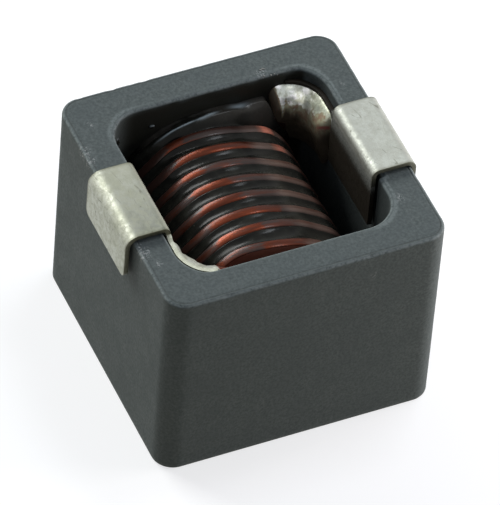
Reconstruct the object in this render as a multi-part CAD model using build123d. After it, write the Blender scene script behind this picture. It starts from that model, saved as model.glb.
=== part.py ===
from build123d import *
import os

# Surface mount power inductor: a square ferrite cup, open on the side that faces the
# circuit board, with an edge wound flat wire coil lying across it on a ferrite rod.
# Frame: the middle of the closed face is the origin, the open face and both solder tabs
# look up, the coil's axis runs along Y and the two terminals sit at -X and +X.
# Millimetres.

# Ferrite cup
shell_side = 11.4             # outside, in both plan directions
shell_height = 9.1            # closed face to rim
shell_wall = 1.42
shell_floor = 1.0             # thickness of the closed face
shell_corner_radius = 0.85    # upright outer edges
cavity_corner_radius = 1.35   # upright inner edges
rim_outer_radius = 0.12       # rounding of the rim's outer edge
rim_inner_radius = 0.14       # rounding of the rim's inner edge
base_edge_radius = 0.08       # rounding around the closed face

# Corner pockets that take the terminal arms, front left and rear right
pocket_depth = 0.17           # into the wall
pocket_drop = 2.9             # down from the rim
pocket_clearance = 0.1        # past the ends of a terminal

# Winding
wire_thickness = 0.40         # along the coil's axis
wire_width = 1.40             # across the turn
wire_edge_radius = 0.08
coil_pitch = 0.857
coil_offset_x = -0.28         # axis to the left of the cup's middle
coil_top_drop = 1.07          # rim down to the top of the turns
coil_floor_clearance = 0.13   # turns to the cup's floor
coil_side_clearance = 0.30    # turns to the nearer side wall, at least
coil_rear_gap = 0.217         # first wire to the rear wall
coil_front_gap = 0.60         # last wire to the front wall, at least

# Core rod inside the winding
rod_clearance = 0.10          # around the rod
rod_end_gap = 0.10            # bonded gap at each end of the rod

# Leads, flat wire rising from the two ends of the coil to the terminal arms
lead_clearance = 0.05         # lead to the plane of the arm's inner face
front_lead_drop = 0.28        # rim down to the tip of the front lead
rear_lead_drop = 0.65         # rim down to the tip of the rear lead
lead_snip = 0.90              # the slanting cut across a tip falls this much

# Terminals, formed tinned strip
strip_thickness = 0.18
tab_width = 3.66              # along Y
terminal_offset_y = -0.20     # both terminals sit this far towards the front
tab_lift = 0.15               # underside of the tab above the rim
left_leg_gap = 0.16           # outer leg to the cup's side, left terminal
right_leg_gap = 0.01          # the same, right terminal
leg_drop = 1.80               # rim down to the end of the outer leg
leg_corner_radius = 0.30
outer_bend_radius = 0.42      # outside of the bend at the cup's side
inner_bend_radius = 0.34      # outside of the bend into the cavity
left_plate_inset = 0.05       # wall plate inside the line of its arm, left terminal
right_plate_inset = 0.21      # the same, right terminal
plate_drop = 2.60             # rim down to the end of the wall plate and the arm
arm_clearance = 0.02          # arm to the pocket's wall
arm_step = 0.35               # length of the step between plate and arm, along Y
arm_end_offset = 0.32         # end of an arm past the start of the cavity's corner
left_arm_drop = 0.05          # rim down to the top edge of the left arm
right_arm_drop = 0.55         # rim down to the top edge of the right arm

# Solder between a lead's tip and its arm
solder_clearance = 0.01
solder_height = 1.10
left_solder_thickness = 0.30
right_solder_thickness = 0.53
left_solder_drop = 0.12       # rim down to the solder, left joint
right_solder_drop = 0.58      # the same, right joint
left_solder_start = 0.45      # from the step to the solder, along Y
right_solder_start = 0.05     # the same, right joint
left_solder_overlap = 0.20    # solder past the end of the arm, over the lead
right_solder_overlap = 0.60   # the same, right joint

# Black adhesive
seam_side_clearance = 0.005   # adhesive to the flat sides of the turns
seam_sink = 0.12              # adhesive below the outer edge of the turns
bead_left_reach = 2.12        # bead at the rear wall, left of the coil's axis
bead_lead_clearance = 0.21    # the bead's right end to the rear lead
bead_height = 1.55
bead_overhang = 0.30          # bead outside the turns, around the coil

# Derived sizes of the cup
shell_half = shell_side / 2
cavity_half = shell_half - shell_wall
pocket_half = cavity_half + pocket_depth
pocket_corner_radius = cavity_corner_radius + pocket_depth

# Derived sizes of the winding: as large and as long as the cavity lets it be
radius_by_height = (shell_height - shell_floor - coil_top_drop - coil_floor_clearance) / 2
radius_by_width = cavity_half - abs(coil_offset_x) - coil_side_clearance
coil_radius = min(radius_by_height, radius_by_width)
coil_length = 2 * cavity_half - coil_rear_gap - coil_front_gap - wire_thickness
coil_turns = int(coil_length / coil_pitch - 0.5) + 0.5
coil_axis_z = shell_height - coil_top_drop - coil_radius
coil_inner_radius = coil_radius - wire_width
coil_mean_radius = coil_radius - wire_width / 2
coil_first_y = cavity_half - coil_rear_gap - wire_thickness / 2
coil_last_y = coil_first_y - coil_pitch * coil_turns

# Derived sizes of the terminals
arm_outer_half = pocket_half - arm_clearance
arm_inner_half = arm_outer_half - strip_thickness
arm_outer_corner = pocket_corner_radius - arm_clearance
arm_inner_corner = arm_outer_corner - strip_thickness
arm_end_x = cavity_half - cavity_corner_radius + arm_end_offset
tab_top = shell_height + tab_lift + strip_thickness


def block(x_ends, y_ends, z_ends):
    """A box between two values in each direction, given in any order."""
    x_low, x_high = sorted(x_ends)
    y_low, y_high = sorted(y_ends)
    z_low, z_high = sorted(z_ends)
    middle = Pos((x_low + x_high) / 2, (y_low + y_high) / 2, (z_low + z_high) / 2)
    return middle * Box(x_high - x_low, y_high - y_low, z_high - z_low)


def column(half, radius, z_low, z_high):
    """An upright square column about the cup's middle, with rounded upright edges."""
    outline = RectangleRounded(2 * half, 2 * half, radius)
    return Pos(0, 0, z_low) * extrude(outline, z_high - z_low)


def edges_at(solid, height):
    """The edges that lie in one level plane."""
    return solid.edges().filter_by_position(Axis.Z, height - 1e-4, height + 1e-4)


def make_pocket(side):
    """Shallow pocket along a side wall and round the corner: side -1 left, 1 right."""
    z_low = shell_height - pocket_drop
    start_y = terminal_offset_y - side * (tab_width / 2 + pocket_clearance)
    end_x = side * (arm_end_x - pocket_clearance)
    zone = block((end_x, side * shell_half), (start_y, side * shell_half),
                 (z_low, shell_height))
    return column(pocket_half, pocket_corner_radius, z_low, shell_height) & zone


def make_shell():
    """Ferrite cup with its cavity and the two corner pockets."""
    cup = column(shell_half, shell_corner_radius, 0, shell_height)
    cup = fillet(edges_at(cup, 0), base_edge_radius)
    cup = fillet(edges_at(cup, shell_height), rim_outer_radius)
    cup = cup - column(cavity_half, cavity_corner_radius, shell_floor, shell_height)
    cup = cup - make_pocket(-1) - make_pocket(1)
    opening = cup.faces().sort_by(Axis.Z)[-1].inner_wires()[0]
    return fillet(opening.edges(), rim_inner_radius)


def make_rod():
    """Straight ferrite rod that carries the winding across the cavity."""
    radius = coil_inner_radius - rod_clearance
    length = 2 * (cavity_half - rod_end_gap)
    return Pos(coil_offset_x, 0, coil_axis_z) * Rot(90, 0, 0) * Cylinder(radius, length)


def helical_strip(outer_radius, thickness, turns, start_y):
    """Strip wound on edge about the coil's axis, from the right side, down and forward."""
    width = outer_radius - coil_inner_radius
    middle = coil_inner_radius + width / 2
    path = Helix(coil_pitch, coil_pitch * turns, middle, lefthand=True)
    section = Plane.XZ * Pos(middle, 0, 0) * RectangleRounded(width, thickness, wire_edge_radius)
    strip = sweep(section, path=path, is_frenet=True)
    return Pos(coil_offset_x, start_y, coil_axis_z) * Rot(90, 0, 0) * strip


def make_lead(side, tip_drop):
    """Flat wire rising beside the coil, with a snipped tip: side -1 front, 1 rear."""
    foot_x = coil_offset_x + side * coil_mean_radius
    foot_y = coil_last_y if side < 0 else coil_first_y
    tip_x = side * (arm_end_x - wire_width / 2)
    tip_y = side * (arm_inner_half - lead_clearance - wire_thickness / 2)
    tip_z = shell_height - tip_drop
    outline = RectangleRounded(wire_width, wire_thickness, wire_edge_radius)
    lead = loft([Pos(foot_x, foot_y, coil_axis_z) * outline, Pos(tip_x, tip_y, tip_z) * outline],
                ruled=True)
    inner_x = side * (arm_end_x - 1.5 * wire_width)
    snip = Polyline((side * arm_end_x, tip_z), (inner_x, tip_z - 1.5 * lead_snip),
                    (inner_x, tip_z + lead_snip), (side * arm_end_x, tip_z + lead_snip), close=True)
    cutter = extrude(Plane.XZ * make_face(snip), shell_half, both=True)
    return lead - cutter


def make_winding():
    """Edge wound flat wire with both leads, one continuous conductor."""
    turns = helical_strip(coil_radius, wire_thickness, coil_turns, coil_first_y)
    return turns + make_lead(-1, front_lead_drop) + make_lead(1, rear_lead_drop)


def bridge_body(x_inner, x_outer, z_top, inner_radius, outer_radius):
    """Block under a bent strip's surface, with the bends rounded over its top."""
    y_ends = (terminal_offset_y - tab_width / 2, terminal_offset_y + tab_width / 2)
    body = block((x_inner, x_outer), y_ends, (shell_height - plate_drop, z_top))
    body = fillet(edges_at(body, z_top).filter_by(Axis.Y).sort_by(Axis.X)[0], inner_radius)
    return fillet(edges_at(body, z_top).filter_by(Axis.Y).sort_by(Axis.X)[-1], outer_radius)


def make_bridge(side, plate_inner, leg_gap):
    """Tab over the rim with the outer leg and the wall plate, one bent strip."""
    leg_outer = shell_half + leg_gap + strip_thickness
    leg_low = shell_height - leg_drop
    skin = bridge_body(plate_inner, leg_outer, tab_top, inner_bend_radius, outer_bend_radius)
    space = bridge_body(plate_inner + strip_thickness, leg_outer - strip_thickness,
                        tab_top - strip_thickness, inner_bend_radius - strip_thickness,
                        outer_bend_radius - strip_thickness)
    below_leg = block((shell_half, leg_outer), (-shell_half, shell_half),
                      (shell_height - plate_drop, leg_low))
    bridge = skin - space - below_leg
    bridge = fillet(edges_at(bridge, leg_low).filter_by(Axis.X), leg_corner_radius)
    return mirror(bridge, Plane.YZ) if side < 0 else bridge


def make_terminal(side, plate_inset, arm_drop, leg_gap):
    """Terminal with its arm round the corner: side -1 left and front, 1 right and rear."""
    plate_inner = arm_inner_half - plate_inset
    plate_outer = plate_inner + strip_thickness
    low = shell_height - plate_drop
    high = shell_height - arm_drop
    edge_y = terminal_offset_y + side * tab_width / 2
    arm_y = edge_y + side * arm_step
    outline = Polyline((side * plate_inner, edge_y), (side * plate_outer, edge_y),
                       (side * arm_outer_half, arm_y), (side * arm_inner_half, arm_y), close=True)
    step = Pos(0, 0, low) * extrude(make_face(outline), high - low)
    ring = column(arm_outer_half, arm_outer_corner, low, high)
    ring = ring - column(arm_inner_half, arm_inner_corner, low, high)
    zone = block((side * arm_end_x, side * shell_half), (arm_y, side * shell_half), (low, high))
    return make_bridge(side, plate_inner, leg_gap) + step + (ring & zone)


def make_solder(side, thickness, drop, start, overlap, winding):
    """Solder that joins a lead's tip to the arm: side -1 left, 1 right."""
    high = shell_height - drop
    low = high - solder_height
    half = arm_inner_half - solder_clearance
    corner = arm_inner_corner - solder_clearance
    ring = column(half, corner, low, high)
    ring = ring - column(half - thickness, corner - thickness, low, high)
    start_y = terminal_offset_y + side * (tab_width / 2 + arm_step + start)
    zone = block((side * (arm_end_x - overlap), side * shell_half),
                 (start_y, side * shell_half), (low, high))
    joint = (ring & zone) - winding
    return joint.solids().sort_by(SortBy.VOLUME)[-1]


def make_turn_adhesive():
    """Black adhesive that fills the gaps between neighbouring turns."""
    thickness = coil_pitch - wire_thickness - 2 * seam_side_clearance
    return helical_strip(coil_radius - seam_sink, thickness, coil_turns - 1,
                         coil_first_y - coil_pitch / 2)


def make_rear_adhesive():
    """Bead of black adhesive between the first turn and the cup's rear wall."""
    top = shell_height - coil_top_drop
    left_x = coil_offset_x - bead_left_reach
    right_x = coil_offset_x + coil_inner_radius - bead_lead_clearance
    front_y = coil_first_y - wire_thickness / 2
    body = block((left_x, right_x), (front_y, cavity_half), (top - bead_height, top))
    axis = Pos(coil_offset_x, 0, coil_axis_z) * Rot(90, 0, 0)
    body = body & (axis * Cylinder(coil_radius + bead_overhang, shell_side))
    return body - axis * Cylinder(coil_inner_radius, shell_side)


def build_parts():
    """Every piece of the inductor by its name."""
    winding = make_winding()
    return {
        "ferrite_shell": make_shell(),
        "ferrite_rod": make_rod(),
        "winding": winding,
        "terminal_left": make_terminal(-1, left_plate_inset, left_arm_drop, left_leg_gap),
        "terminal_right": make_terminal(1, right_plate_inset, right_arm_drop, right_leg_gap),
        "solder_joint_left": make_solder(-1, left_solder_thickness, left_solder_drop,
                                         left_solder_start, left_solder_overlap, winding),
        "solder_joint_right": make_solder(1, right_solder_thickness, right_solder_drop,
                                          right_solder_start, right_solder_overlap, winding),
        "turn_adhesive": make_turn_adhesive(),
        "rear_adhesive": make_rear_adhesive(),
    }


os.makedirs("parts", exist_ok=True)
for name, shape in build_parts().items():
    export_step(shape, f"parts/{name}.step")
    print(name, len(shape.solids()), "solid,", round(shape.volume, 3), "mm3")
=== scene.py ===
"""Looks of the surface mount inductor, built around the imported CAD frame.

Sizes are in millimetres and become metres when a mesh is made. The frame's origin is the middle
of the closed face, +Y runs along the coil's axis to the rear, and the solder side looks up.
"""
import random
from math import acos, cos, dist, exp, pi, radians, remainder, sin, sqrt, tan, tau

import bmesh
import bpy
import numpy as np
from mathutils import Matrix, Vector, noise


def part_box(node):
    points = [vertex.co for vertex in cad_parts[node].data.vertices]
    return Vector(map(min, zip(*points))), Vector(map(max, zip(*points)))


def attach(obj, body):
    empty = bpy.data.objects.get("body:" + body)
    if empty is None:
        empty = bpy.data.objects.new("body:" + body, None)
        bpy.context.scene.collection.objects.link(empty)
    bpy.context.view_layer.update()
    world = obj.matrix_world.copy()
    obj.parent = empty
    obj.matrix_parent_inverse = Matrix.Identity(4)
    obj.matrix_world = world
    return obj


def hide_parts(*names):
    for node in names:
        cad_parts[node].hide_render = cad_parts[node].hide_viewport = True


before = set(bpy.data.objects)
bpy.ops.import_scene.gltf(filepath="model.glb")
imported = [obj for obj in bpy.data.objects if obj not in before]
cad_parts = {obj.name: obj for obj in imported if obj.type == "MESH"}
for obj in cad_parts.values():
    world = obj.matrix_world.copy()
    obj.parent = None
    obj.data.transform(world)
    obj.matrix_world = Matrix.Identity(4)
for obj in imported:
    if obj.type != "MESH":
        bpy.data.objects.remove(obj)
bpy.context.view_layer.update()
random.seed(7)

MM = 0.001
QUARTER = pi / 2


def node_box(name):
    """A CAD node's lowest and highest corners in millimetres."""
    low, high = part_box(name)
    return Vector(low) / MM, Vector(high) / MM


# Sizes taken from the frame
shell_high = node_box("ferrite_shell")[1]
rod_low, rod_high = node_box("ferrite_rod")
left_low, left_high = node_box("terminal_left")
right_low, right_high = node_box("terminal_right")
bead_high = node_box("rear_adhesive")[1]

SHELL_HALF = shell_high.x
RIM = shell_high.z
CAVITY_HALF = bead_high.y
COIL_X = (rod_low.x + rod_high.x) / 2
COIL_Z = (rod_low.z + rod_high.z) / 2
COIL_TOP = bead_high.z
COIL_RADIUS = COIL_TOP - COIL_Z
TAB_TOP = left_high.z
TERMINAL_Y = (left_high.y + right_low.y) / 2
TAB_HALF = (left_high.y - right_low.y) / 2

# Ferrite cup
FLOOR_Z = 1.0
OUTER_CORNER = 0.85
CAVITY_CORNER = 1.35
BASE_FILLET = 0.09
FLOOR_FILLET = 0.3
RIM_OUTER_FILLET = 0.13
RIM_INNER_FILLET = 0.15
POCKET_DEPTH = 0.17
POCKET_LOW = RIM - 2.9
POCKET_START = TAB_HALF + 0.1

# Fine groove along the rim's outer edge: from where to where it is full, its end and its painted shade
GROOVE_BED = (0.14, 0.165)
GROOVE_END = 0.19
GROOVE_Z = RIM - 0.011
GROOVE_SHADE = 0.32

# Flat wire and the turns
WIRE_THICKNESS = 0.40
WIRE_WIDTH = 1.40
PITCH = 0.857
TURNS = 8.5
FIRST_Y = CAVITY_HALF - 0.175 - WIRE_THICKNESS / 2
LAST_Y = FIRST_Y - PITCH * TURNS
MIDDLE_RADIUS = COIL_RADIUS - WIRE_WIDTH / 2

# Terminals; where a size differs, side -1 is left and front, 1 right and rear
STRIP = 0.18
ARM_OUTER = right_high.y + 0.035
ARM_MIDDLE = ARM_OUTER - STRIP / 2
ARM_TURN = CAVITY_HALF - CAVITY_CORNER
ARM_END_X = right_low.x
ARM_STEP = 0.35
ARM_TOPS = {-1: RIM - 0.05, 1: RIM - 0.55}
PLATE_MIDDLES = {-1: ARM_MIDDLE - 0.05, 1: ARM_MIDDLE - 0.21}
LEAD_TIPS = {-1: RIM - 0.28, 1: RIM - 1.6}
LEAD_SNIP = 0.90
LEAD_CLEARANCE = 0.05
LEG_LOW = RIM - 1.8
PLATE_LOW = left_low.z
LEG_CORNER = 0.30
OUTER_BENDS = {-1: 0.56, 1: 0.42}
INNER_BEND = 0.34

COLLECTION = bpy.context.scene.collection


# ---- Numbers

def noise_at(point, size, seed=0.0):
    """Smooth noise between about -1 and 1 with features of the given size."""
    return noise.noise(Vector(point) / size + Vector((seed, seed * 1.7, -seed)))


def smooth(low, high, value):
    """0 up to low, 1 from high on and smooth between; low may be the greater of the two."""
    part = min(max((value - low) / (high - low), 0.0), 1.0)
    return part * part * (3 - 2 * part)


def plateau(value, rise, top, fall, end):
    """1 from top to fall, 0 before rise and after end, and smooth between."""
    return smooth(rise, top, value) * smooth(end, fall, value)


def bell(value, middle, width):
    """1 in the middle, falling to nothing on both sides."""
    return exp(-((value - middle) / width) ** 2)


def mixed(first, second, share):
    """A value between two others."""
    return first + (second - first) * share


def between(start, end, count):
    """Evenly spaced values from start to end, both included."""
    return [start + (end - start) * step / (count - 1) for step in range(count)]


# ---- Mesh helpers

def make_object(name, vertices, faces):
    """A smooth mesh object from millimetre vertices."""
    mesh = bpy.data.meshes.new(name)
    mesh.from_pydata([(x * MM, y * MM, z * MM) for x, y, z in vertices], [], faces)
    mesh.validate()
    mesh.shade_smooth()
    made = bpy.data.objects.new(name, mesh)
    COLLECTION.objects.link(made)
    return made


def make_solid(name, vertices, faces, weld=0.0):
    """A mesh whose faces look outward, after joining vertices that are closer than a distance."""
    made = make_object(name, vertices, faces)
    shape = bmesh.new()
    shape.from_mesh(made.data)
    if weld:
        bmesh.ops.remove_doubles(shape, verts=shape.verts, dist=weld * MM)
    bmesh.ops.recalc_face_normals(shape, faces=shape.faces)
    shape.to_mesh(made.data)
    shape.free()
    return made


def grid_faces(rows, columns, wrap=False, start=0):
    """Quads over a grid of vertices that is stored row by row."""
    faces = []
    for row in range(start, start + (rows - 1) * columns, columns):
        for column in range(columns if wrap else columns - 1):
            beside = (column + 1) % columns
            faces.append((row + column, row + beside, row + columns + beside, row + columns + column))
    return faces


def tube_faces(rows, columns):
    """Quads round a tube of vertices that is stored ring by ring, and a cap on each end."""
    last = (rows - 1) * columns
    caps = [tuple(reversed(range(columns))), tuple(range(last, last + columns))]
    return grid_faces(rows, columns, wrap=True) + caps


def closed_tube(name, rings):
    """A closed mesh from rings of equal length."""
    vertices = [point for ring in rings for point in ring]
    return make_solid(name, vertices, tube_faces(len(rings), len(rings[0])))


def add_attributes(made, **layers):
    """Numbers or vectors for each vertex, for a material to read."""
    for name, values in layers.items():
        values = np.asarray(values, np.float32)
        kind, key = ("FLOAT", "value") if values.ndim == 1 else ("FLOAT_VECTOR", "vector")
        made.data.attributes.new(name, kind, "POINT").data.foreach_set(key, values.ravel())


def paint(made, material):
    """Gives an object one material."""
    made.data.materials.clear()
    made.data.materials.append(material)


def finish_piece(made, slot, material, *nodes):
    """Paints a piece and puts it on the part's one body, hiding the CAD nodes it stands for; the slot is not
    used.
    """
    paint(made, material)
    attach(made, "root")
    if nodes:
        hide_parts(*nodes)


# ---- Material helpers

def set_inputs(tree, made, values):
    """Links or sets inputs of a node, named by their sockets; None leaves one as it is."""
    for socket, value in values.items():
        if isinstance(value, bpy.types.NodeSocket):
            tree.links.new(value, made.inputs[socket])
        elif value is not None:
            made.inputs[socket].default_value = value


def add_node(tree, kind, values=None, **settings):
    """A shader node of a kind, with its settings made and its inputs linked or set."""
    made = tree.nodes.new("ShaderNode" + kind)
    for key, value in settings.items():
        setattr(made, key, value)
    set_inputs(tree, made, values or {})
    return made


def colour(value):
    """A socket as it is, or a colour or a grey with its alpha."""
    if isinstance(value, bpy.types.NodeSocket):
        return value
    return (value, value, value, 1.0) if isinstance(value, float) else (*value, 1.0)


def blend(tree, factor, first, second, kind="MIX"):
    """A blend of two colours, each a socket, (r, g, b) or a grey."""
    values = {0: factor, 6: colour(first), 7: colour(second)}
    return add_node(tree, "Mix", values, data_type="RGBA", blend_type=kind).outputs[2]


def shaded(tint, share):
    """A colour made darker or lighter by a share."""
    return tuple(min(part * share, 1.0) for part in tint)


class Look:
    """A node material that is built call by call, its base colour coat by coat."""

    def __init__(self, name):
        self.material = bpy.data.materials.new(name)
        self.material.use_nodes = True
        self.tree = self.material.node_tree
        coordinates = self.add("TexCoord").outputs["Object"]
        scaled = self.add("VectorMath", {0: coordinates, "Scale": 1 / MM}, operation="SCALE")
        self.place = scaled.outputs["Vector"]
        self.base = None

    def add(self, kind, values=None, **settings):
        """A node of this material."""
        return add_node(self.tree, kind, values, **settings)

    def noise(self, size, detail=3.0, roughness=0.55, place=None):
        """Noise with features of a size in millimetres."""
        values = {"Vector": place or self.place, "Scale": 1 / size, "Detail": detail, "Roughness": roughness}
        return self.add("TexNoise", values).outputs["Fac"]

    def spots(self, size):
        """Distance to the nearest of scattered points, 0 at each point."""
        return self.add("TexVoronoi", {"Vector": self.place, "Scale": 1 / size}).outputs["Distance"]

    def attribute(self, name):
        """A number stored on the vertices."""
        return self.add("Attribute", attribute_name=name).outputs["Fac"]

    def ramp(self, value, low, high, start=0.0, end=1.0):
        """Maps low..high to start..end, smoothly and without overshoot."""
        values = {"Value": value, "From Min": low, "From Max": high, "To Min": start, "To Max": end}
        return self.add("MapRange", values, interpolation_type="SMOOTHSTEP").outputs["Result"]

    def math(self, operation, first, second=0.0, clamp=True):
        """One arithmetic step on numbers, kept between 0 and 1 unless told otherwise."""
        made = self.add("Math", {0: first, 1: second}, operation=operation, use_clamp=clamp)
        return made.outputs["Value"]

    def mix(self, factor, first, second, kind="MIX"):
        """A blend of two colours or numbers."""
        return blend(self.tree, factor, first, second, kind)

    def cover(self, factor, tint, mask=None):
        """Lays a colour over the base by a socket or an attribute's name, times a mask if there is one."""
        factor = self.attribute(factor) if isinstance(factor, str) else factor
        if mask is not None:
            factor = self.math("MULTIPLY", factor, mask)
        self.base = self.mix(factor, self.base, tint)

    def bump(self, height, depth, normal=None):
        """A bump whose height of 1 stands for a depth in millimetres."""
        values = {"Height": height, "Distance": depth * MM, "Strength": 1.0, "Normal": normal}
        return self.add("Bump", values).outputs["Normal"]

    def finish(self, **values):
        """The material, with its base colour and other sockets set; _ is a space in their names."""
        values = {name.replace("_", " "): value for name, value in values.items()}
        set_inputs(self.tree, self.tree.nodes["Principled BSDF"], {"Base Color": self.base, **values})
        return self.material


# ---- Materials

def ferrite_material():
    """Fired ferrite: matte, very fine grain, paler on its edges from wear and from painted highlight."""
    look = Look("ferrite")
    grain = look.noise(0.11, roughness=0.65)
    cloud = look.noise(0.9, detail=2.0)
    look.base = look.mix(look.ramp(grain, 0.25, 0.75), (0.050, 0.062, 0.060), (0.099, 0.114, 0.111))
    look.cover(look.ramp(cloud, 0.3, 0.7, 0.0, 0.35), (0.075, 0.088, 0.089))
    # Paler edges: partly wear, partly painted highlight on the rounded rim edges
    look.cover("edge", (0.170, 0.195, 0.190), look.ramp(look.noise(0.12), 0.25, 0.6))
    scratches = look.noise(0.10, detail=5.0, roughness=0.75)
    look.cover("scuff", (0.36, 0.37, 0.36), look.ramp(scratches, 0.50, 0.62))
    look.cover(look.ramp(look.spots(0.9), 0.02, 0.055, 0.35, 0.0), (0.030, 0.034, 0.034))
    # Darker, glossier cavity walls from a little below the rim down, and painted shade in the rim's groove
    varnish = look.attribute("varnish")
    look.cover(varnish, (0.019, 0.019, 0.015))
    roughness = look.mix(varnish, look.ramp(cloud, 0.3, 0.7, 0.66, 0.74), 0.35)
    return look.finish(Roughness=roughness, Specular_IOR_Level=0.20, Normal=look.bump(grain, 0.006))


def enamel_material():
    """Flat copper wire under clear red brown enamel, smeared with black adhesive on top, with dust and
    painted highlights.
    """
    look = Look("enamelled_wire")
    along = look.add("Attribute", attribute_name="wire").outputs["Vector"]
    streaks = look.noise(1.0, detail=4.0, roughness=0.6, place=along)
    fine = look.noise(0.07)
    look.base = look.mix(look.ramp(streaks, 0.35, 0.65), (0.056, 0.011, 0.004), (0.102, 0.020, 0.007))
    look.cover(look.ramp(fine, 0.35, 0.7, 0.0, 0.4), (0.040, 0.010, 0.004))
    patches = look.ramp(look.noise(1.3, detail=5.0, roughness=0.65, place=along), 0.42, 0.60, 0.0, 0.55)
    smear = look.ramp(look.math("ADD", patches, look.attribute("smear")), 0.30, 1.0)
    look.cover(smear, (0.026, 0.011, 0.008))
    # Dust and painted sheen on the right flank, stronger on the wire's front side as painted highlight
    look.cover("dusty", (0.160, 0.102, 0.080))
    # Painted highlight on the first two turns, and the pale film on the last turn's front face
    look.cover("flare", (0.85, 0.27, 0.17))
    metal = look.math("SUBTRACT", look.math("SUBTRACT", 0.9, smear), look.attribute("dusty"))
    return look.finish(Metallic=metal, Roughness=look.ramp(fine, 0.3, 0.7, 0.30, 0.42),
                       Specular_IOR_Level=0.2, Coat_Weight=0.18, Coat_Roughness=0.15, Coat_IOR=1.45,
                       Normal=look.bump(look.noise(0.16, detail=2.0), 0.004))


def adhesive_material():
    """Black cured adhesive, wet looking, with dust settled in it, painted light where it lies in shade and
    painted highlights.
    """
    look = Look("adhesive")
    flow = look.noise(0.5)
    look.base = look.mix(look.ramp(flow, 0.3, 0.7), (0.006, 0.006, 0.005), (0.013, 0.013, 0.010))
    # Dust, and painted light: a lift where the adhesive lies in shade and a painted reflection
    look.cover("dusty", (0.072, 0.064, 0.053))
    # Painted highlights on the rear ridge, the pool and some drops
    look.cover("pale", (0.34, 0.39, 0.40))
    look.cover(look.ramp(look.spots(0.45), 0.02, 0.07, 0.5, 0.0), (0.10, 0.10, 0.09))
    return look.finish(Roughness=look.ramp(flow, 0.3, 0.7, 0.16, 0.30), Specular_IOR_Level=0.10,
                       Normal=look.bump(flow, 0.012))


def tin_material(name, clean, dull, tab_shade, scratch_turn):
    """Tinned strip: satin, faintly mottled and scratched, olive on its cut edges, with painted shade on its
    tab tops and dirt and painted shade low on its wall plate.
    """
    look = Look(name)
    mottle = look.noise(0.7, detail=4.0, roughness=0.6)
    fine = look.noise(0.06, roughness=0.7)
    blotch = look.noise(0.22, detail=4.0, roughness=0.7)
    look.base = look.mix(look.ramp(mottle, 0.38, 0.68), clean, dull)
    # Painted shade on the flat tab tops
    look.cover("tab", look.mix(1.0, look.base, tab_shade, "MULTIPLY"))
    look.cover(look.ramp(blotch, 0.38, 0.66, 0.0, 0.6), shaded(dull, 0.78))
    streaks = {"Vector": look.place, "Scale": (1 / 0.3, 0.5, 0.5), "Rotation": (0, 0, scratch_turn)}
    streaked = look.add("Mapping", streaks, vector_type="TEXTURE").outputs["Vector"]
    wander = look.math("SUBTRACT", look.noise(1.0, detail=0.0, place=streaked), 0.5, clamp=False)
    hairline = look.ramp(look.math("ABSOLUTE", wander), 0.004, 0.014, 0.65, 0.0)
    look.cover(hairline, (0.10, 0.10, 0.075), look.ramp(look.noise(0.3, detail=4.0), 0.46, 0.62))
    pits = look.ramp(look.spots(0.6), 0.03, 0.11, 0.55, 0.0)
    look.cover(pits, (0.10, 0.10, 0.08), look.ramp(mottle, 0.42, 0.60))
    look.cover("cut", (0.075, 0.073, 0.046), 0.85)
    # Dirt and painted shade, darker down the wall plates
    grime = look.math("ADD", look.attribute("grime"), look.ramp(fine, 0.3, 0.7, 0.0, 0.15))
    grime = look.ramp(grime, 0.3, 1.0)
    look.cover(grime, (0.016, 0.013, 0.009))
    return look.finish(Metallic=look.math("SUBTRACT", 1.0, grime),
                       Roughness=look.ramp(blotch, 0.3, 0.7, 0.50, 0.68), Specular_IOR_Level=0.15,
                       Normal=look.bump(fine, 0.007, look.bump(blotch, 0.014)))


def solder_material(name, clean, dull):
    """Solder: dull with a few bright spots and painted highlights, brown residue low down, darker at its
    bottom, with a painted red highlight on the right one.
    """
    look = Look(name)
    lumps = look.noise(0.35, detail=4.0, roughness=0.65)
    fine = look.noise(0.08, roughness=0.7)
    glint, tarnish, dirt = (look.attribute(layer) for layer in ("glint", "tarnish", "residue"))
    look.base = look.mix(look.ramp(lumps, 0.38, 0.62), clean, dull)
    look.cover(look.ramp(fine, 0.5, 0.75, 0.0, 0.5), (0.30, 0.30, 0.22))
    # Bright spots, with painted highlights where the painted glint is
    bright = look.ramp(look.math("ADD", look.noise(0.5, detail=4.0, roughness=0.6), glint), 0.52, 0.63)
    look.cover(bright, shaded(clean, 1.4))
    look.cover(tarnish, look.mix(1.0, look.base, (0.80, 0.80, 0.70), "MULTIPLY"))
    # Darker brown below the residue's edge where the run is not tarnished, and towards its bottom
    burnt = look.math("MULTIPLY", look.math("SUBTRACT", 1.0, tarnish), look.ramp(dirt, 0.54, 0.68))
    burnt = look.math("MAXIMUM", burnt, look.ramp(dirt, 0.53, 0.95))
    brown = look.mix(look.ramp(lumps, 0.4, 0.6), (0.45, 0.42, 0.27), (0.32, 0.22, 0.14))
    brown = look.mix(burnt, brown, (0.072, 0.056, 0.037))
    # Painted red highlight on the right residue
    brown = look.mix(look.attribute("blush"), brown, (0.34, 0.115, 0.085))
    residue = look.math("ADD", dirt, look.ramp(look.noise(0.30, detail=2.0), 0.3, 0.7, 0.0, 0.10))
    residue = look.ramp(residue, 0.53, 0.58)
    look.cover(residue, brown)
    metal = look.mix(bright, 0.35, 0.7)
    metal = look.mix(look.ramp(glint, 0.02, 0.12), metal, 1.0)
    metal = look.mix(residue, metal, 0.0)
    rough = look.math("SUBTRACT", look.ramp(lumps, 0.35, 0.65, 0.42, 0.58), glint)
    return look.finish(Metallic=metal, Roughness=rough, Specular_IOR_Level=0.25,
                       Normal=look.bump(fine, 0.006, look.bump(lumps, 0.012)))


def crumb_material():
    """Pale grains of dried flux."""
    look = Look("flux_crumbs")
    look.base = look.mix(look.noise(0.04), (0.10, 0.105, 0.095), (0.26, 0.26, 0.24))
    return look.finish(Roughness=0.6, Specular_IOR_Level=0.3)


# ---- Ferrite cup

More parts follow.
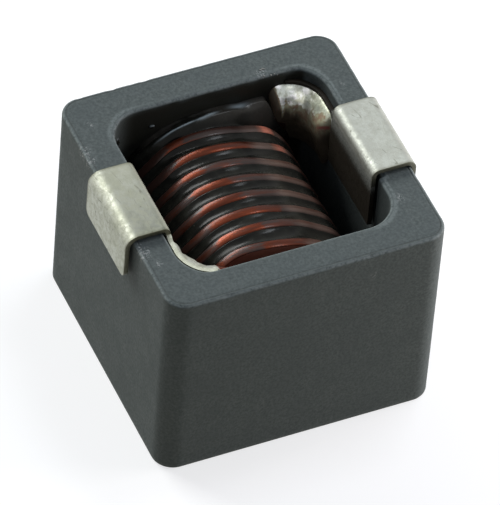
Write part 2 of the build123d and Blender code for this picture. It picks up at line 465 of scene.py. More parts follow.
SIDE_STEPS = 64
CORNER_STEPS = 14
POCKET_SIDES = (0, 2)
POCKET_END = QUARTER - 0.145


def pocket_start(side):
    """Where a side's pocket begins along its wall, in the outline's own direction."""
    return (TERMINAL_Y if side == 0 else -TERMINAL_Y) - POCKET_START


def outline_stations():
    """Places round a square with rounded corners: side, share of its straight, turn in its corner.

    The outline starts at the front end of the right side and runs to the rear."""
    places = []
    for side in range(4):
        shares = [-1 + 2 * step / SIDE_STEPS for step in range(SIDE_STEPS)]
        if side in POCKET_SIDES:
            start = pocket_start(side) / ARM_TURN
            shares += [start - 0.003, start + 0.003]
        places += [(side, share, None) for share in sorted(shares)]
        places += [(side, 1.0, QUARTER * step / CORNER_STEPS) for step in range(CORNER_STEPS)]
    return places


def pocket_share_at(place):
    """How deep a place of the outline lies in one of the two pockets, 0 to 1."""
    side, share, angle = place
    if side not in POCKET_SIDES:
        return 0.0
    if angle is not None:
        return smooth(POCKET_END + 0.1, POCKET_END - 0.5, angle)
    return 1.0 if share * ARM_TURN > pocket_start(side) else 0.0


def outline_point(place, half, corner):
    """A place of the outline on a square of a given half width and corner radius."""
    side, share, angle = place
    straight = half - corner
    if angle is None:
        x, y = half, share * straight
    else:
        x, y = straight + corner * cos(angle), straight + corner * sin(angle)
    turn = side * QUARTER
    return (x * cos(turn) - y * sin(turn), x * sin(turn) + y * cos(turn))


def shell_profile():
    """Rings of the cup from the middle of its closed face, outside, over the rim and inside.

    Each ring: outline half width, corner radius, height, share of the pocket, edge wear and painted
    highlight."""
    rings = []

    def outside(inset, height, wear=0.0):
        rings.append((SHELL_HALF - inset, OUTER_CORNER - inset, height, 0, wear))

    def inside(inset, height, pocket, wear=0.0):
        rings.append((CAVITY_HALF + inset, CAVITY_CORNER + inset, height, pocket, wear))

    for share in between(0.02, 0.97, 8):
        rings.append((SHELL_HALF * share, OUTER_CORNER * share, 0.0, 0, 0.0))
    for turn in between(0, QUARTER, 6):
        outside(BASE_FILLET * (1 - sin(turn)), BASE_FILLET * (1 - cos(turn)), 0.35)
    for height in between(BASE_FILLET, RIM - RIM_OUTER_FILLET, 56)[1:-1]:
        outside(0, height)
    for turn in between(0, QUARTER, 8):
        drop = RIM_OUTER_FILLET * (1 - sin(turn))
        outside(RIM_OUTER_FILLET * (1 - cos(turn)), RIM - drop, sin(2 * turn) ** 2)
    for inset in GROOVE_BED:
        outside(inset, GROOVE_Z)
    outside(GROOVE_END, RIM)
    for share in between(0, 1, 20)[1:-1]:
        half = mixed(SHELL_HALF - GROOVE_END, CAVITY_HALF + RIM_INNER_FILLET, share)
        corner = mixed(OUTER_CORNER - GROOVE_END, CAVITY_CORNER + RIM_INNER_FILLET, share)
        rings.append((half, corner, RIM, share, 0.0))
    # The rim's inner rounded edge is paler, partly from wear, partly as painted highlight
    for turn in between(0, QUARTER, 8):
        drop = RIM_INNER_FILLET * (1 - cos(turn))
        inside(RIM_INNER_FILLET * (1 - sin(turn)), RIM - drop, 1, 0.9 * sin(2 * turn) ** 2)
    for height in between(RIM - RIM_INNER_FILLET, POCKET_LOW, 16)[1:]:
        inside(0, height, 1)
    for height in between(POCKET_LOW, FLOOR_Z + FLOOR_FILLET, 14):
        inside(0, height, 0)
    for turn in between(0, QUARTER, 4)[1:]:
        inside(-FLOOR_FILLET * (1 - cos(turn)), FLOOR_Z + FLOOR_FILLET * (1 - sin(turn)), 0)
    for share in between(0.9, 0.02, 6):
        rings.append((CAVITY_HALF * share, CAVITY_CORNER * share, FLOOR_Z, 0, 0.0))
    return rings


# Scuffed spots: place and size
SCUFFS = [(-5.68, 3.0, 9.02, 0.42), (-5.66, 2.5, 9.05, 0.40), (-5.62, -2.3, 9.05, 0.30),
          (-5.60, -2.75, 9.06, 0.36), (-5.22, -3.3, 9.1, 0.22), (-5.4, -2.5, 9.1, 0.22),
          (2.3, 4.5, 9.1, 0.30), (5.0, 2.9, 9.1, 0.12), (4.6, -3.3, 9.05, 0.25),
          (2.55, -5.7, 7.95, 0.16), (-4.9, 4.2, 9.1, 0.18)]


def scuff_at(point):
    """How scuffed the cup is at a point, 0 to 1."""
    return max(smooth(size, 0.3 * size, dist(point, place)) for *place, size in SCUFFS)


def varnish_at(x, y, z):
    """How dark and glossy the cavity's wall is made at a point, 0 to 1: from a little below the rim down,
    weaker on the right and front walls and towards the left.
    """
    inside = max(abs(x), abs(y)) < CAVITY_HALF + POCKET_DEPTH + 0.02
    if not inside or z > RIM - 0.05:
        return 0.0
    height = smooth(-0.24, -0.11, RIM - z + 0.05 * noise_at((x, y, z), 0.5, 7.0) - 0.30)
    if x > CAVITY_HALF - 0.3 or y < -CAVITY_HALF + 0.3:
        return 0.35 * height
    return height * (1 - 0.7 * smooth(-3.0, -4.1, x))


def rim_wear(x, y):
    """Painted highlight on the inner part of the flat rim: in its rear corners and on the right."""
    rear = smooth(2.4, 3.6, y) * (0.25 + 0.75 * smooth(2.4, 3.6, abs(x)))
    return 0.6 * max(rear, smooth(2.4, 3.6, x))


def make_shell(material):
    """The ferrite cup with its pockets, slightly uneven as pressed and fired."""
    places = outline_stations()
    pockets = [pocket_share_at(place) for place in places]
    vertices, edges, scuffs, varnish = [], [], [], []
    for half, corner, height, pocket_share, wear in shell_profile():
        for place, pocket in zip(places, pockets):
            step = POCKET_DEPTH * pocket_share * pocket
            x, y = outline_point(place, half + step, corner + step)
            level = Vector((*outline_point(place, half, corner), height))
            point = Vector((x, y, height))
            if height > 0.2:
                lean = abs(noise_at(level, 1.1, 3.0) * 0.006 + noise_at(level, 0.3, 5.0) * 0.003)
                chip = wear * max(noise_at(level, 0.45, 9.0) - 0.15, 0.0) * 0.05
                if height < RIM - 1e-6:
                    point -= Vector((x, y, 0)).normalized() * (lean + chip)
                point.z -= (lean * 0.6 if height > RIM - 0.2 else 0.0) + chip
            # Painted highlight on the flat rim next to the cavity
            if height == RIM and pocket_share > 0.9:
                wear = rim_wear(x, y)
            vertices.append(point)
            edges.append(wear)
            scuffs.append(scuff_at(point))
            # Painted shade in the rim's groove
            varnish.append(GROOVE_SHADE if height == GROOVE_Z else varnish_at(x, y, height))
    columns = len(places)
    made = make_solid("ferrite_cup", vertices, tube_faces(len(vertices) // columns, columns))
    add_attributes(made, edge=edges, scuff=scuffs, varnish=varnish)
    finish_piece(made, "ferrite", material, "ferrite_shell")


# ---- Winding

TURN_STEPS = 128
# Angle from the top, to the right, where each turn's smear starts
SMEAR_STARTS = [-0.36, 0.45, -0.32, -0.14, -0.08, 0.28, -0.06, 0.18, -0.20]
# Angles from the top between which the turns show, and where the first two start to show
SHOWN_FROM, SHOWN_TO = -0.85, 0.93
FIRST_SHOWN = [-0.58, -0.70]
# Where the painted highlight on the first two turns starts, and how strong it is
FLARES = [(0.57, 1.0), (0.66, 0.6)]
# Number of turns before the one whose front face is in view, with a pale film on it
TURNS_BEFORE_FILM = 7


def coil_point(angle, radius, y):
    """A point on the coil: the angle runs from the right side, downward."""
    return (COIL_X + radius * cos(angle), y, COIL_Z - radius * sin(angle))


def top_angle(angle):
    """The angle from the coil's top, to the right, at an angle along the wire."""
    return remainder(angle - 1.5 * pi, tau)


def turn_shift(angle):
    """How far a turn strays along the axis from its even pitch, at an angle along the wire."""
    end = tau * TURNS
    last_top = end - 1.5 * pi
    from_top = top_angle(angle)
    stray = -0.07 + 0.11 * (smooth(-0.80, -0.45, from_top) - smooth(-0.5, 0.15, from_top))
    stray -= 0.20 * smooth(last_top - 0.55, last_top + 0.25, angle)
    return stray * plateau(angle, 0.0, 1.0, end - 1.6, end)


def turn_swell(angle):
    """How far a turn leaves its even radius, at an angle along the wire: its right shoulder bulges."""
    turn = angle / tau
    from_top = top_angle(angle)
    start = 0.22 + 0.10 * min(turn, 4)
    swell = 0.22 + 0.04 * smooth(1.8, 1.0, turn)
    swell *= plateau(from_top, start, start + 0.45, 1.5, 2.7)
    swell -= 0.07 * bell(from_top, 0.33, 0.22) * plateau(turn, 2.4, 3.2, 5.9, 6.6)
    return swell * smooth(0.0, 1.0, angle)


def crest_drop(away):
    """How far the wire's crowned outer edge lies below its crest, at a distance from its middle."""
    return away ** 2 / 1.9 + 0.035 * (away / (WIRE_THICKNESS / 2)) ** 10


def wire_profile():
    """Section of the flat wire: (outward, along the axis), its outer edge gently crowned."""
    half_width, half = WIRE_WIDTH / 2, WIRE_THICKNESS / 2
    crown = [half * sin(QUARTER * (step / 10 - 1)) for step in range(21)]
    flank = [(0.3, half), (-0.3, half), (-half_width, half * 0.7)]
    crest = [(half_width - crest_drop(away), away) for away in crown]
    return crest + flank + [(wide, -thin) for wide, thin in reversed(flank)]


PROFILE = wire_profile()


def wire_ring(centre, out):
    """The wire's section at a centre, with its wide direction given."""
    return [(centre[0] + wide * out[0], centre[1] + thin, centre[2] + wide * out[2])
            for wide, thin in PROFILE]


def lead_rings(side):
    """Sections of a lead from the coil's end up to its arm, snipped on a slant: side -1 front, 1 rear."""
    foot = Vector((COIL_X + side * MIDDLE_RADIUS, LAST_Y if side < 0 else FIRST_Y, COIL_Z))
    tip = Vector((side * (ARM_END_X - WIRE_WIDTH / 2),
                  side * (ARM_OUTER - STRIP - LEAD_CLEARANCE - WIRE_THICKNESS / 2), LEAD_TIPS[side]))
    slant = LEAD_SNIP / WIRE_WIDTH
    return [[(x, y, min(z, LEAD_TIPS[side] - slant * (ARM_END_X - side * x)))
             for x, y, z in wire_ring(foot.lerp(tip, share), (side, 0, 0))]
            for share in between(0, 1, 32)[1:]]


def buried_at(turn, from_top):
    """How black a turn is made at an angle from its top: only its top shows."""
    start = FIRST_SHOWN[turn] if turn < len(FIRST_SHOWN) else SHOWN_FROM
    return max(smooth(start + 0.05, start - 0.07, from_top),
               smooth(SHOWN_TO - 0.08, SHOWN_TO + 0.08, from_top))


def dust_at(from_top, y):
    """How much dust and painted sheen the coil has at an angle from its top, to the right: only on its right
    flank.
    """
    patchy = 0.5 + 0.5 * noise_at((from_top * 3.5, y, 0), 0.8, 12.0)
    return plateau(from_top, 0.30, 0.50, 0.84, 1.00) * (0.35 + 0.5 * patchy)


def turn_looks(turn, angle):
    """Smear, painted highlight and pale film on the front face, at an angle along the wire."""
    from_top = top_angle(angle)
    start = SMEAR_STARTS[turn]
    smear = 0.62 * smooth(start, start + 0.07, from_top) - 0.22 * smooth(0.35, 0.55, from_top)
    flare = film = 0.0
    if turn == 0:
        smear += 0.25 * smooth(-0.2, 0.0, from_top)
    # Painted highlight near the right end of the first two turns
    if turn < len(FLARES):
        start, strength = FLARES[turn]
        flare = strength * plateau(from_top, start, start + 0.06, start + 0.14, start + 0.20)
        smear -= 0.6 * flare
    # Black outside the shown part, and darker on the left flank from about 30 degrees left of the top
    smear = max(smear, 0.60 * smooth(-0.48, -0.58, from_top), buried_at(turn, from_top))
    if angle > TURNS_BEFORE_FILM * tau:
        film = 0.7 + 0.3 * noise_at((angle * 2.0, 0, 0), 1.0, 31.0)
        smear = 0.55 * plateau(from_top, -0.66, -0.60, -0.16, -0.08)
    return max(smear, smooth(1.2, 0.2, angle)), flare, film


def make_winding(material):
    """The edge wound flat wire, from the rear lead through all turns to the front lead."""
    rings, smears, dusty, flares, along = [], [], [], [], []
    length = 0.0

    def add_ring(ring, smear, dust=0.0, flare=0.0, front_film=0.0):
        rings.append(ring)
        for (wide, thin), (x, y, z) in zip(PROFILE, ring):
            film = 0.5 * front_film if thin < -0.99 * WIRE_THICKNESS / 2 else 0.0
            smears.append(max(smear, 2.2 * film))
            # Stronger on the wire's front side, as painted highlight on its front edge
            dusty.append(min(dust * (1.5 if thin < 0 else 1.0), 1.0))
            flares.append(max(flare, film))
            along.append((length / 1.5, thin / 0.25 + y, wide / 0.5))

    for ring in reversed(lead_rings(1)):
        # The rear lead is made black
        add_ring(ring, 1.0)
        length += 0.2
    for step in range(int(TURNS * TURN_STEPS) + 1):
        angle = tau * step / TURN_STEPS
        y = FIRST_Y - PITCH * step / TURN_STEPS + turn_shift(angle)
        sway = noise_at((angle * 1.3, y * 3, 0), 1.0, 2.0) * 0.018
        centre = coil_point(angle, MIDDLE_RADIUS + turn_swell(angle) + sway * 0.5, y + sway)
        smear, flare, film = turn_looks(step // TURN_STEPS, angle)
        section = wire_ring(centre, (cos(angle), 0, -sin(angle)))
        add_ring(section, smear, dust_at(top_angle(angle), y), flare, film)
        length += tau * COIL_RADIUS / TURN_STEPS
    for ring in lead_rings(-1):
        add_ring(ring, 0.0)
        length += 0.2
    made = closed_tube("flat_wire_winding", rings)
    add_attributes(made, smear=smears, dusty=dusty, flare=flares, wire=along)
    finish_piece(made, "enamelled_copper", material, "winding")


# ---- Adhesive

def make_turn_adhesive(material):
    """The sunken seam of adhesive between neighbouring turns, unevenly filled."""
    half = (PITCH - WIRE_THICKNESS) / 2
    rings, dusty = [], []
    for step in range(int((TURNS - 1) * TURN_STEPS) + 1):
        angle = tau * step / TURN_STEPS
        y = FIRST_Y - PITCH * (step / TURN_STEPS + 0.5)
        sink = 0.054 + 0.014 * noise_at((angle * 1.1, y * 2, 0), 1.0, 11.0)
        cover = 0.010 + 0.018 * noise_at((angle * 1.7, y, 4.0), 1.0, 16.0)
        edge_drop = crest_drop(WIRE_THICKNESS / 2 - cover) - 0.006
        rear, front = turn_shift(angle), turn_shift(angle + tau)
        rear_swell, front_swell = turn_swell(angle), turn_swell(angle + tau)
        ring = []
        for share in between(-1, 1, 13):
            radius = COIL_RADIUS - edge_drop - sink * (1 - abs(share) ** 2.2)
            radius += mixed(rear_swell, front_swell, (share + 1) / 2)
            width = half + cover + 0.02 * noise_at((angle * 2.3, y, share), 1.0, 6.0)
            ring.append(coil_point(angle, radius, y + mixed(rear, front, (share + 1) / 2) - width * share))
        for share, stray in ((1, front), (-1, rear)):
            ring.append(coil_point(angle, COIL_RADIUS - WIRE_WIDTH, y + stray - (half + 0.01) * share))
        rings.append(ring)
        # Dust and painted sheen on the seams of the right flank
        dusty += [0.55 * dust_at(top_angle(angle), y)] * len(ring)
    made = closed_tube("adhesive_between_turns", rings)
    add_attributes(made, dusty=dusty)
    finish_piece(made, "adhesive", material, "turn_adhesive")


def rear_radius(angle, share):
    """Outer radius of the rear adhesive: angle from the top, to the right; share 0 front, 1 wall."""
    right = 0.38 * smooth(-0.15, 0.75, angle) * smooth(0.2, 0.6, share)
    climb = 0.05 * smooth(0.78, 1.0, share)
    return COIL_RADIUS - 0.15 * bell(share, 0.14, 0.13) + 0.08 * bell(share, 0.55, 0.20) + right + climb


def pale_at(angle, share, x, y):
    """Painted highlight on the rear adhesive: a thin line along its ridge and a patch on the pool."""
    line = 0.59 + 0.22 * angle + 0.28 * max(angle, 0.0)
    along = plateau(angle, -0.66, -0.34, 0.08, 0.22) * (1 - 0.6 * bell(angle, -0.09, 0.04))
    width = 0.035 + 0.035 * smooth(-0.12, 0.0, angle)
    return min(along * bell(share, line, width) + 0.9 * bell(x, 1.27, 0.32) * bell(y, 4.10, 0.11), 1.0)


def haze_at(angle, share):
    """How much the rear adhesive is lightened, by dust and by painted light: on its right flank, where it
    lies in shade, and, less, high up on the left as a painted reflection.
    """
    right = 0.45 * smooth(-0.1, 0.3, angle) + 0.55 * smooth(0.3, 0.6, angle)
    right *= smooth(1.05, 0.72, angle) * smooth(0.1, 0.5, share)
    return right + 0.5 * plateau(angle, -0.85, -0.65, -0.45, -0.3) * smooth(0.62, 0.72, share)


REAR_FROM, REAR_TO = -1.45, 1.25
REAR_INNER_RADIUS = 2.6


def make_rear_adhesive(material):
    """Adhesive behind the first turn: a ridge round the coil and a level pool to the wall."""
    rows, columns = 96, 64
    outer, inner, pale, hazy = [], [], [], []
    for angle in between(REAR_FROM, REAR_TO, rows):
        slope = FIRST_Y - PITCH * (0.75 + angle / tau) + WIRE_THICKNESS * 0.3
        for share in between(0, 1, columns):
            y = mixed(slope, CAVITY_HALF + 0.02, share)
            x, y, z = coil_point(angle - QUARTER, rear_radius(angle, share), y)
            pool = plateau(angle, -0.35, 0.1, 0.72, 0.95) * smooth(0.35, 0.75, share)
            z += max(COIL_TOP - 0.02 - z, 0.0) * pool
            outer.append((x, y, z + noise_at((x, y * 1.5, z), 0.55, 4.0) * 0.035))
            inner.append(coil_point(angle - QUARTER, REAR_INNER_RADIUS, y))
            pale.append(pale_at(angle, share, x, y))
            hazy.append(haze_at(angle, share))
    offset = rows * columns
    faces = grid_faces(rows, columns) + grid_faces(rows, columns, start=offset)
    border = [*range(columns - 1), *range(columns - 1, offset - 1, columns),
              *range(offset - 1, offset - columns, -1), *range(offset - columns, 0, -columns)]
    for corner, following in zip(border, border[1:] + border[:1]):
        faces.append((corner, following, following + offset, corner + offset))
    made = make_solid("rear_adhesive_pool", outer + inner, faces)
    clean = [0.0] * len(inner)
    add_attributes(made, pale=pale + clean, dusty=hazy + clean)
    finish_piece(made, "adhesive", material, "rear_adhesive")


BLOB_RINGS, BLOB_COLUMNS = 8, 14


def blob(centre, size, stretch, seed):
    """Vertices of one uneven drop, ring by ring."""
    vertices = []
    for row in range(1, BLOB_RINGS + 1):
        polar = pi * row / (BLOB_RINGS + 1)
        for column in range(BLOB_COLUMNS):
            turn = tau * column / BLOB_COLUMNS
            out = Vector((sin(polar) * cos(turn), sin(polar) * sin(turn), cos(polar)))
            radius = size * (1 + 0.25 * noise_at(out, 0.8, seed))
            vertices.append([centre[axis] + out[axis] * radius * stretch[axis] for axis in range(3)])
    return vertices


def make_blobs(name, drops):
    """One mesh of several uneven drops: (centre, size, stretch)."""
    vertices, faces = [], []
    for index, (centre, size, stretch) in enumerate(drops):
        faces += [tuple(corner + len(vertices) for corner in face)
                  for face in tube_faces(BLOB_RINGS, BLOB_COLUMNS)]
        vertices += blob(centre, size, stretch, index * 1.3)
    return make_solid(name, vertices, faces)


def make_drips(material):
    """Drops of adhesive on the left wall and the coil's left flank, the left ones with a painted highlight
    on top.
    """
    drops = [((-4.26, 3.62, 8.25), 0.16, (0.5, 1.2, 1.5)), ((-4.27, 2.85, 8.1), 0.14, (0.5, 1.4, 1.2)),
             ((-4.25, 2.0, 7.9), 0.13, (0.5, 1.1, 1.6)), ((-3.9, 4.0, 8.0), 0.20, (1.0, 0.7, 1.2)),
             ((-4.0, 3.9, 7.4), 0.22, (1.0, 0.8, 1.4)), ((-2.27, 4.24, 8.02), 0.09, (1.3, 0.8, 0.7)),
             ((2.55, -1.2, 6.6), 0.10, (1.0, 1.2, 1.0)), ((2.35, -1.9, 6.75), 0.09, (1.0, 1.4, 1.0))]
    made = make_blobs("adhesive_drips", drops)
    add_attributes(made, pale=[
        0.45 * smooth(0.3, 1.0, vertex.normal.z) * smooth(-2.0, -2.2, vertex.co.x / MM)
        for vertex in made.data.vertices])
    finish_piece(made, "adhesive", material)


def make_crumbs(material):
    """Pale crumbs of flux round the rear right solder joint."""
    drops = []
    for x, y, spread, count in ((2.35, 4.33, 0.10, 5), (2.75, 4.36, 0.16, 9), (2.45, 4.62, 0.12, 4)):
        for _ in range(count):
            place = (x + random.uniform(-spread, spread), y + random.uniform(-0.5, 0.5) * spread,
                     RIM - random.uniform(0.02, 0.14) if y < 4.5 else RIM + 0.005)
            drops.append((place, random.uniform(0.018, 0.042), (1.2, 1.0, 0.8)))
    finish_piece(make_blobs("flux_crumbs", drops), "solder", material)


# ---- Terminals

def spaced(start, end, spacing):
    """Values from start to end, closer together near both ends."""
    near = [0.0, 0.02, 0.05, 0.09, 0.14, 0.20, 0.27]
    inner = between(start + 0.35, end - 0.35, max(int((end - start - 0.7) / spacing) + 2, 2))
    return [start + step for step in near] + inner + [end - step for step in reversed(near)]


def arc(centre_u, centre_z, radius, start, end, count):
    """Points of an arc; angles in radians from +u towards +z."""
    return [(centre_u + radius * cos(turn), centre_z + radius * sin(turn))
            for turn in between(start, end, count)]


def bridge_path(side, leg):
    """The strip's middle line from the wall plate's foot over the rim to the leg's end."""
    plate, tab = PLATE_MIDDLES[side], TAB_TOP - STRIP / 2
    inner, outer = INNER_BEND - STRIP / 2, OUTER_BENDS[side] - STRIP / 2
    levels = sorted(spaced(PLATE_LOW, ARM_TOPS[side], 0.12) + between(ARM_TOPS[side] + 0.03, tab - inner, 3))
    levels = [level for level in levels if level <= tab - inner + 1e-9]
    path = [(plate, level) for level in levels]
    path += arc(plate + inner, tab - inner, inner, pi, QUARTER, 12)[1:]
    path += [(u, tab) for u in between(plate + inner, leg - outer, 16)[1:]]
    path += arc(leg - outer, tab - outer, outer, QUARTER, 0, 14)[1:]
    path += [(leg, level) for level in reversed(spaced(LEG_LOW, tab - outer, 0.1)[:-1])]
    return path


def arm_path(side):
    """Plan of the arm's middle line: over the step, along the wall and round the corner."""
    edge = TAB_HALF + side * TERMINAL_Y
    path = [(mixed(PLATE_MIDDLES[side], ARM_MIDDLE, smooth(0, 1, share)), edge + ARM_STEP * share)
            for share in between(0, 1, 10)]
    path += [(ARM_MIDDLE, w) for w in between(edge + ARM_STEP, ARM_TURN, 10)[1:]]
    radius = ARM_MIDDLE - ARM_TURN
    return path + arc(ARM_TURN, ARM_TURN, radius, 0, acos((ARM_END_X - ARM_TURN) / radius), 24)[1:]


def strip_vertices(side, leg):
    """The middle surface of a terminal: vertices and faces in the terminal's own directions."""
    edge = TAB_HALF + side * TERMINAL_Y
    across = spaced(edge - 2 * TAB_HALF, edge, 0.085)
    bend_foot = TAB_TOP - OUTER_BENDS[side]
    path = bridge_path(side, leg)
    vertices = []
    for u, z in path:
        for w in across:
            level = z
            if u > leg - 1e-6 and z < bend_foot:
                reach = max(abs(w - edge + TAB_HALF) - (TAB_HALF - LEG_CORNER), 0.0)
                rise = LEG_CORNER - sqrt(max(LEG_CORNER ** 2 - reach ** 2, 0.0))
                level = LEG_LOW + rise + (z - LEG_LOW) * (bend_foot - LEG_LOW - rise) / (bend_foot - LEG_LOW)
            vertices.append((u, w, level))
    faces = grid_faces(len(path), len(across))
    levels = [z for u, z in path if u <= PLATE_MIDDLES[side] + 1e-6 and z <= ARM_TOPS[side] + 1e-6]
    arm = arm_path(side)
    faces += grid_faces(len(arm), len(levels), start=len(vertices))
    vertices += [(u, w, z) for u, w in arm for z in levels]
    return vertices, faces


def cut_share(side, place):
    """How close a place is to a side edge of the bridge, where the strip is olive, 0 to 1."""
    if place.z < ARM_TOPS[side] + 0.02 and abs(place.x) < SHELL_HALF:
        return 0.0
    away = TAB_HALF - abs(place.y - TERMINAL_Y)
    return 0.55 * smooth(0.13, 0.01, away) + 0.45 * smooth(0.02, 0.0, away)


def tab_share(side, place):
    """How much painted shade a place gets on the flat top of a tab, 0 to 1; on the left tab it grows to the
    front.
    """
    rearward = (place.y - TERMINAL_Y) / TAB_HALF if side < 0 else 0.0
    return smooth(-0.16, -0.09, place.z - TAB_TOP) * (0.85 - 0.28 * min(max(rearward, -1.0), 1.0))


def left_grime(place):
    """Dirt and painted shade on the left terminal: darker low on its wall plate."""
    return 0.8 * smooth(RIM - 0.3, RIM - 1.2, place.z) if place.x > -SHELL_HALF else 0.0


def right_grime(place):
    """Residue and painted shade on the right terminal: round the corner and darker down the wall plate."""
    if place.x > SHELL_HALF:
        return 0.0
    corner = smooth(0.2, 0.7, place.y - TAB_HALF - TERMINAL_Y)
    low = 0.5 * smooth(0.05, -0.25, place.z - RIM) + 0.5 * smooth(-0.2, -1.3, place.z - RIM)
    return max(corner, low)


def make_terminal(name, side, leg_outer, grime, node, material):
    """One terminal as bent strip: side -1 left and front, 1 right and rear."""
    vertices, faces = strip_vertices(side, leg_outer - STRIP / 2)
    made = make_solid(name, [(side * u, side * w, z) for u, w, z in vertices], faces, weld=0.003)
    for vertex in made.data.vertices:
        place = vertex.co / MM
        wave = noise_at(place, 1.9, 4.0 + side) * 0.012 + noise_at(place, 0.7, 8.0) * 0.003
        if place.z > RIM:
            vertex.co.z += (wave - 0.010) * MM
        elif abs(place.x) > SHELL_HALF:
            vertex.co.x -= side * abs(wave) * MM
    places = [vertex.co / MM for vertex in made.data.vertices]
    add_attributes(made, cut=[cut_share(side, place) for place in places],
                   tab=[tab_share(side, place) for place in places],
                   grime=[grime(place) for place in places])
    thick = made.modifiers.new("strip", "SOLIDIFY")
    thick.thickness, thick.offset, thick.use_even_offset = STRIP * MM, 0.0, True
    rounding = made.modifiers.new("edges", "BEVEL")
    rounding.width, rounding.segments = 0.022 * MM, 2
    rounding.limit_method, rounding.angle_limit = "ANGLE", radians(50)
    finish_piece(made, "tinned_copper", material, node)


# ---- Solder

# How far to the left and the front a place is seen on the rim's plane, for each millimetre of depth
SIGHT_X, SIGHT_Y = 0.424, 0.829
# Painted highlights on the rear right solder, as seen on the rim's plane: x, y, half sizes and strength
GLINTS = [(3.22, 2.82, 0.22, 0.30, 0.20), (3.02, 3.42, 0.20, 0.12, 0.10)]

SOLDER_STEPS, SOLDER_COLUMNS = 96, 40
END_TAPER = 0.10


def solder_path(start, end):
    """Places along an arm's inner face: u, w, the direction away from the wall, share of the run."""
    radius = ARM_MIDDLE - STRIP / 2 - ARM_TURN
    straight, bend, rest = ARM_TURN - start, radius * QUARTER, ARM_TURN - end
    places = []
    for share in between(0, 1, SOLDER_STEPS):
        run = (straight + bend + rest) * share - straight
        turn = min(max(run / radius, 0.0), QUARTER)
        x, y = cos(turn), sin(turn)
        u = ARM_TURN + radius * x - max(run - bend, 0.0)
        w = ARM_TURN + radius * y + min(run, 0.0)
        places.append((u, w, (-x, -y), share))
    return places


def make_solder(name, side, start, end, thickness, top, low, shoulder, dirty_at, seed, node, material):
    """A lumpy fillet along an arm, full below its shoulder, dirty from a share of its height down.

    Thickness, top, low and the dirty share are functions of the run along the arm."""
    rings, residue, blush, tarnish, glint = [], [], [], [], []
    for u, w, away, run in solder_path(start, end):
        inward = min(run, 1 - run, END_TAPER) / END_TAPER
        taper = sqrt(max(1 - (1 - inward) ** 2, 0.0004))
        high, bottom, depth, dirty = top(run), low(run), thickness(run) * taper, dirty_at(run)
        middle = mixed(high, bottom, 0.3)
        ring = []
        for share in between(0, 1, SOLDER_COLUMNS):
            swell = depth * sin(QUARTER * min(share / shoulder, 1.0)) ** 0.9
            swell *= 1 - 0.75 * smooth(shoulder * 1.1, 1.0, share)
            level = mixed(middle, mixed(high, bottom, share), 0.4 + 0.6 * taper)
            point = Vector((side * (u + away[0] * swell), side * (w + away[1] * swell), level))
            lump = noise_at(point, 0.42, seed) * 0.060 + noise_at(point, 0.18, seed + 3) * 0.018
            lump *= min(depth / 0.3, 1.0) * smooth(0.0, 0.10, share)
            point += Vector((side * away[0], side * away[1], 0.35)) * lump
            ring.append(point)
            ragged = noise_at((u * 1.4, w * 1.4, run * 5), 0.35, seed + 5) * 0.10
            residue.append(min(max(0.5 + (share - dirty + ragged) * 0.9, 0.0), 1.0))
            # Painted red highlight and painted highlights, placed as seen on the rim's plane
            x, y = point.x - SIGHT_X * (RIM - point.z), point.y - SIGHT_Y * (RIM - point.z)
            near = ((x - 3.48) / 0.34) ** 2 + ((y - 0.98 + 0.35 * (x - 3.55)) / 0.09) ** 2
            blush.append(smooth(1.4, 0.4, near))
            glint.append(max(strength * bell(x, spot_x, wide) * bell(y, spot_y, long)
                             for spot_x, spot_y, wide, long, strength in GLINTS))
        for level in (ring[-1].z, ring[0].z):
            ring.append((side * (u - away[0] * 0.03), side * (w - away[1] * 0.03), level))
        rings.append(ring)
        residue += [1.0, 1.0]
        blush += [0.0, 0.0]
        glint += [0.0, 0.0]
        tarnish += [0.0 if side < 0 else smooth(0.62, 0.36, run)] * len(ring)
    made = closed_tube(name, rings)
    add_attributes(made, tarnish=tarnish, residue=residue, blush=blush, glint=glint)
    finish_piece(made, "solder", material, node)


# ---- Stage

# Angles in degrees
CAMERA_AZIMUTH, CAMERA_ELEVATION, CAMERA_ROLL = -27.06, 47.04, 5.01
CAMERA_DISTANCE = 266.9
CAMERA_LENS = 498.6
CAMERA_SHIFT = (0.0094, -0.0052)
SENSOR = 36.0
TARGET = Vector((0, 0, 4.56))


def direction(azimuth, elevation):
    """Unit vector; azimuth 0 is the front, -Y, and grows to the right, +X. Degrees."""
    turn, rise = radians(azimuth), radians(elevation)
    return Vector((sin(turn) * cos(rise), -cos(turn) * cos(rise), sin(rise)))


def make_camera():
    """The photograph's camera: rolled, with a long lens and a small shift."""
    back = direction(CAMERA_AZIMUTH, CAMERA_ELEVATION)
    right = direction(CAMERA_AZIMUTH + 90, 0)
    roll = Matrix.Rotation(radians(CAMERA_ROLL), 3, back)
    axes = Matrix((roll @ right, roll @ back.cross(right), back)).transposed()
    data = bpy.data.cameras.new("camera")
    data.lens, data.sensor_width = CAMERA_LENS, SENSOR
    data.shift_x, data.shift_y = CAMERA_SHIFT
    data.clip_start, data.clip_end = 0.01, 20
    made = bpy.data.objects.new("camera", data)
    made.matrix_world = Matrix.Translation((TARGET + back * CAMERA_DISTANCE) * MM) @ axes.to_4x4()
    COLLECTION.objects.link(made)
    bpy.context.scene.camera = made


LAMPS = [
    # name, azimuth, elevation, distance, width and height in degrees, radiance, colour
    ("lamp_rear_left", -158.0, 32.5, 220.0, 30.0, 22.0, 12.8, (0.98, 1.0, 0.98)),
    ("lamp_overhead", 118.0, 69.0, 220.0, 16.0, 12.0, 13.0, (0.94, 1.0, 1.06)),
    ("lamp_right", 75.0, 12.0, 45.0, 36.0, 24.0, 11.6, (1.06, 1.0, 1.01)),
]


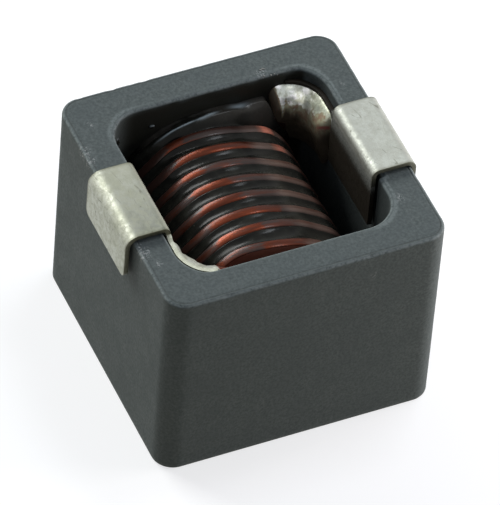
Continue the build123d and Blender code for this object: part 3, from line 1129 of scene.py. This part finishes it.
def make_lamp(name, azimuth, elevation, distance, width, height, radiance, tint):
    """A soft rectangular lamp that looks at the object, given by the angles it fills."""
    data = bpy.data.lights.new(name, "AREA")
    data.shape = "RECTANGLE"
    data.size, data.size_y = (2 * distance * tan(radians(angle / 2)) * MM for angle in (width, height))
    data.energy = radiance * data.size * data.size_y * pi
    data.color = tint
    made = bpy.data.objects.new(name, data)
    towards = direction(azimuth, elevation)
    made.location = (TARGET + towards * distance) * MM
    made.rotation_mode = "QUATERNION"
    made.rotation_quaternion = (-towards).to_track_quat("-Z", "Y")
    COLLECTION.objects.link(made)


def seen_directly(tree):
    """1 for camera, glossy and transmission rays, 0 for the light that falls on surfaces."""
    path = add_node(tree, "LightPath").outputs
    total = path["Is Camera Ray"]
    for name in ("Is Glossy Ray", "Is Transmission Ray"):
        joined = add_node(tree, "Math", {0: total, 1: path[name]}, operation="MAXIMUM")
        total = joined.outputs["Value"]
    return total


# What the sky and the floor look like where they are seen, and what they shed on the object
SKY_SEEN, SKY_SHED = 1.0, (0.190, 0.215, 0.265)
FLOOR_SEEN, FLOOR_GLOW, FLOOR_SHED = 0.42, 0.66, (0.200, 0.172, 0.118)
FLOOR_HALF = 3000.0


def make_world():
    """A plain studio: white where it is seen, dim in what it sheds on the object."""
    world = bpy.data.worlds.new("studio")
    world.use_nodes = True
    tree = world.node_tree
    sky = blend(tree, seen_directly(tree), SKY_SHED, SKY_SEEN)
    set_inputs(tree, tree.nodes["Background"], {"Color": sky, "Strength": 1.0})
    bpy.context.scene.world = world


def make_floor():
    """A pale floor that is seen white and keeps the object's soft shadow."""
    corners = [(x * FLOOR_HALF, y * FLOOR_HALF, 0) for x, y in ((-1, -1), (1, -1), (1, 1), (-1, 1))]
    made = make_object("floor", corners, [(0, 1, 2, 3)])
    material = bpy.data.materials.new("floor")
    material.use_nodes = True
    tree = material.node_tree
    seen = seen_directly(tree)
    set_inputs(tree, tree.nodes["Principled BSDF"], {
        "Base Color": blend(tree, seen, FLOOR_SHED, FLOOR_SEEN), "Roughness": 1.0, "Specular IOR Level": 0.0,
        "Emission Color": blend(tree, seen, FLOOR_SHED, FLOOR_GLOW), "Emission Strength": 1.0})
    paint(made, material)


# ---- Build

bpy.context.scene.view_settings.view_transform = "Standard"
make_camera()
for lamp in LAMPS:
    make_lamp(*lamp)
make_world()
make_floor()

ferrite = ferrite_material()
adhesive = adhesive_material()

make_shell(ferrite)
make_winding(enamel_material())
make_turn_adhesive(adhesive)
make_rear_adhesive(adhesive)
make_drips(adhesive)
make_crumbs(crumb_material())
# The left tab's top gets more painted shade than the right's
make_terminal("terminal_strip_left", -1, -left_low.x, left_grime, "terminal_left",
              tin_material("tin_left", (0.41, 0.42, 0.36), (0.34, 0.35, 0.28), (0.44, 0.45, 0.46), -1.4))
make_terminal("terminal_strip_right", 1, right_high.x, right_grime, "terminal_right",
              tin_material("tin_right", (0.43, 0.445, 0.405), (0.37, 0.38, 0.34), (0.71, 0.72, 0.73), -1.1))
make_solder("solder_fillet_left", -1, 2.30, 3.07,
            lambda run: 0.15 + 0.22 * smooth(0.15, 0.5, run),
            lambda run: RIM - 0.05 - 0.03 * run, lambda run: RIM - 0.95 - 0.45 * run, 0.22,
            lambda run: 0.75, 20.0, "solder_joint_left",
            solder_material("solder_left", (0.40, 0.405, 0.35), (0.27, 0.27, 0.21)))
make_solder("solder_fillet_right", 1, 1.98, 2.60,
            lambda run: 0.50 + 0.06 * smooth(0.5, 0.9, run),
            lambda run: RIM - 0.70, lambda run: RIM - 3.5, 0.34,
            lambda run: 0.02 + 0.22 * smooth(0.06, 0.34, run) - 0.55 * smooth(0.88, 0.99, run),
            30.0, "solder_joint_right",
            solder_material("solder_right", (0.88, 0.92, 0.83), (0.61, 0.62, 0.51)))
paint(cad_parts["ferrite_rod"], ferrite)
